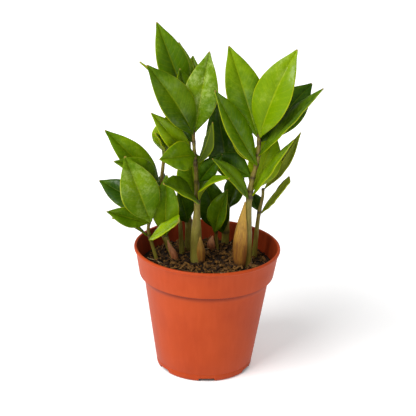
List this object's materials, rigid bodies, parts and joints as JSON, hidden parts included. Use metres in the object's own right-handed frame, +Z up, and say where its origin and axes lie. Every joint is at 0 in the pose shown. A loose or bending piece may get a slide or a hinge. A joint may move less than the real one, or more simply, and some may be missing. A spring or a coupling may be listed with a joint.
{
  "type": "potted zz plant",
  "caption": "Young ZZ plant in a round terracotta-coloured plastic nursery pot: fleshy upright stems with pointed glossy leaflets, over dark bark potting mix.",
  "frame": {"origin": "centre of the pot's flat underside, on the surface the pot stands on", "axes": "+Z up along the pot's axis, +X to the right and -Y towards the viewer as the plant is seen from its front"},
  "size_m": [0.1534, 0.105, 0.2504],
  "materials": {
    "pot_plastic": "satin",
    "potting_mix": "matte",
    "stem": "satin",
    "dry_sheath": "matte",
    "leaflet": "gloss"
  },
  "bodies": {
    "root": {"pot": "pot_plastic", "soil": "potting_mix", "tall_left_stem": "stem", "tall_left_leaflet_1": "leaflet", "tall_left_leaflet_2": "leaflet", "tall_left_leaflet_3": "leaflet", "tall_left_leaflet_4": "leaflet", "tall_left_leaflet_5": "leaflet", "tall_left_leaflet_6": "leaflet", "tall_left_leaflet_7": "leaflet", "tall_left_leaflet_8": "leaflet", "tall_left_leaflet_9": "leaflet", "tall_left_leaflet_10": "leaflet", "tall_back_stem": "stem", "tall_back_leaflet_1": "leaflet", "tall_back_leaflet_2": "leaflet", "tall_back_leaflet_3": "leaflet", "tall_back_leaflet_4": "leaflet", "tall_back_leaflet_5": "leaflet", "tall_back_leaflet_6": "leaflet", "tall_right_stem": "stem", "tall_right_leaflet_1": "leaflet", "tall_right_leaflet_2": "leaflet", "tall_right_leaflet_3": "leaflet", "tall_right_leaflet_4": "leaflet", "tall_right_leaflet_5": "leaflet", "tall_right_leaflet_6": "leaflet", "tall_right_leaflet_7": "leaflet", "tall_right_leaflet_8": "leaflet", "tall_right_leaflet_9": "leaflet", "tall_right_leaflet_10": "leaflet", "left_front_stem": "stem", "left_front_leaflet_1": "leaflet", "left_front_leaflet_2": "leaflet", "left_front_leaflet_3": "leaflet", "left_front_leaflet_4": "leaflet", "left_front_leaflet_5": "leaflet", "left_leaning_stem": "stem", "left_leaning_leaflet_1": "leaflet", "left_leaning_leaflet_2": "leaflet", "left_leaning_leaflet_3": "leaflet", "left_leaning_leaflet_4": "leaflet", "left_leaning_leaflet_5": "leaflet", "left_leaning_leaflet_6": "leaflet", "right_thin_stem": "stem", "right_thin_leaflet_1": "leaflet", "right_thin_leaflet_2": "leaflet", "right_thin_leaflet_3": "leaflet", "back_right_stem": "stem", "back_right_leaflet_1": "leaflet", "back_right_leaflet_2": "leaflet", "back_right_leaflet_3": "leaflet", "back_right_leaflet_4": "leaflet", "short_middle_stem": "stem", "short_middle_leaflet_1": "leaflet", "inner_left_stem": "stem", "right_sheath": "dry_sheath", "middle_sheath": "dry_sheath", "small_sheath": "dry_sheath", "left_sheath": "dry_sheath"}
  },
  "joints": []
}
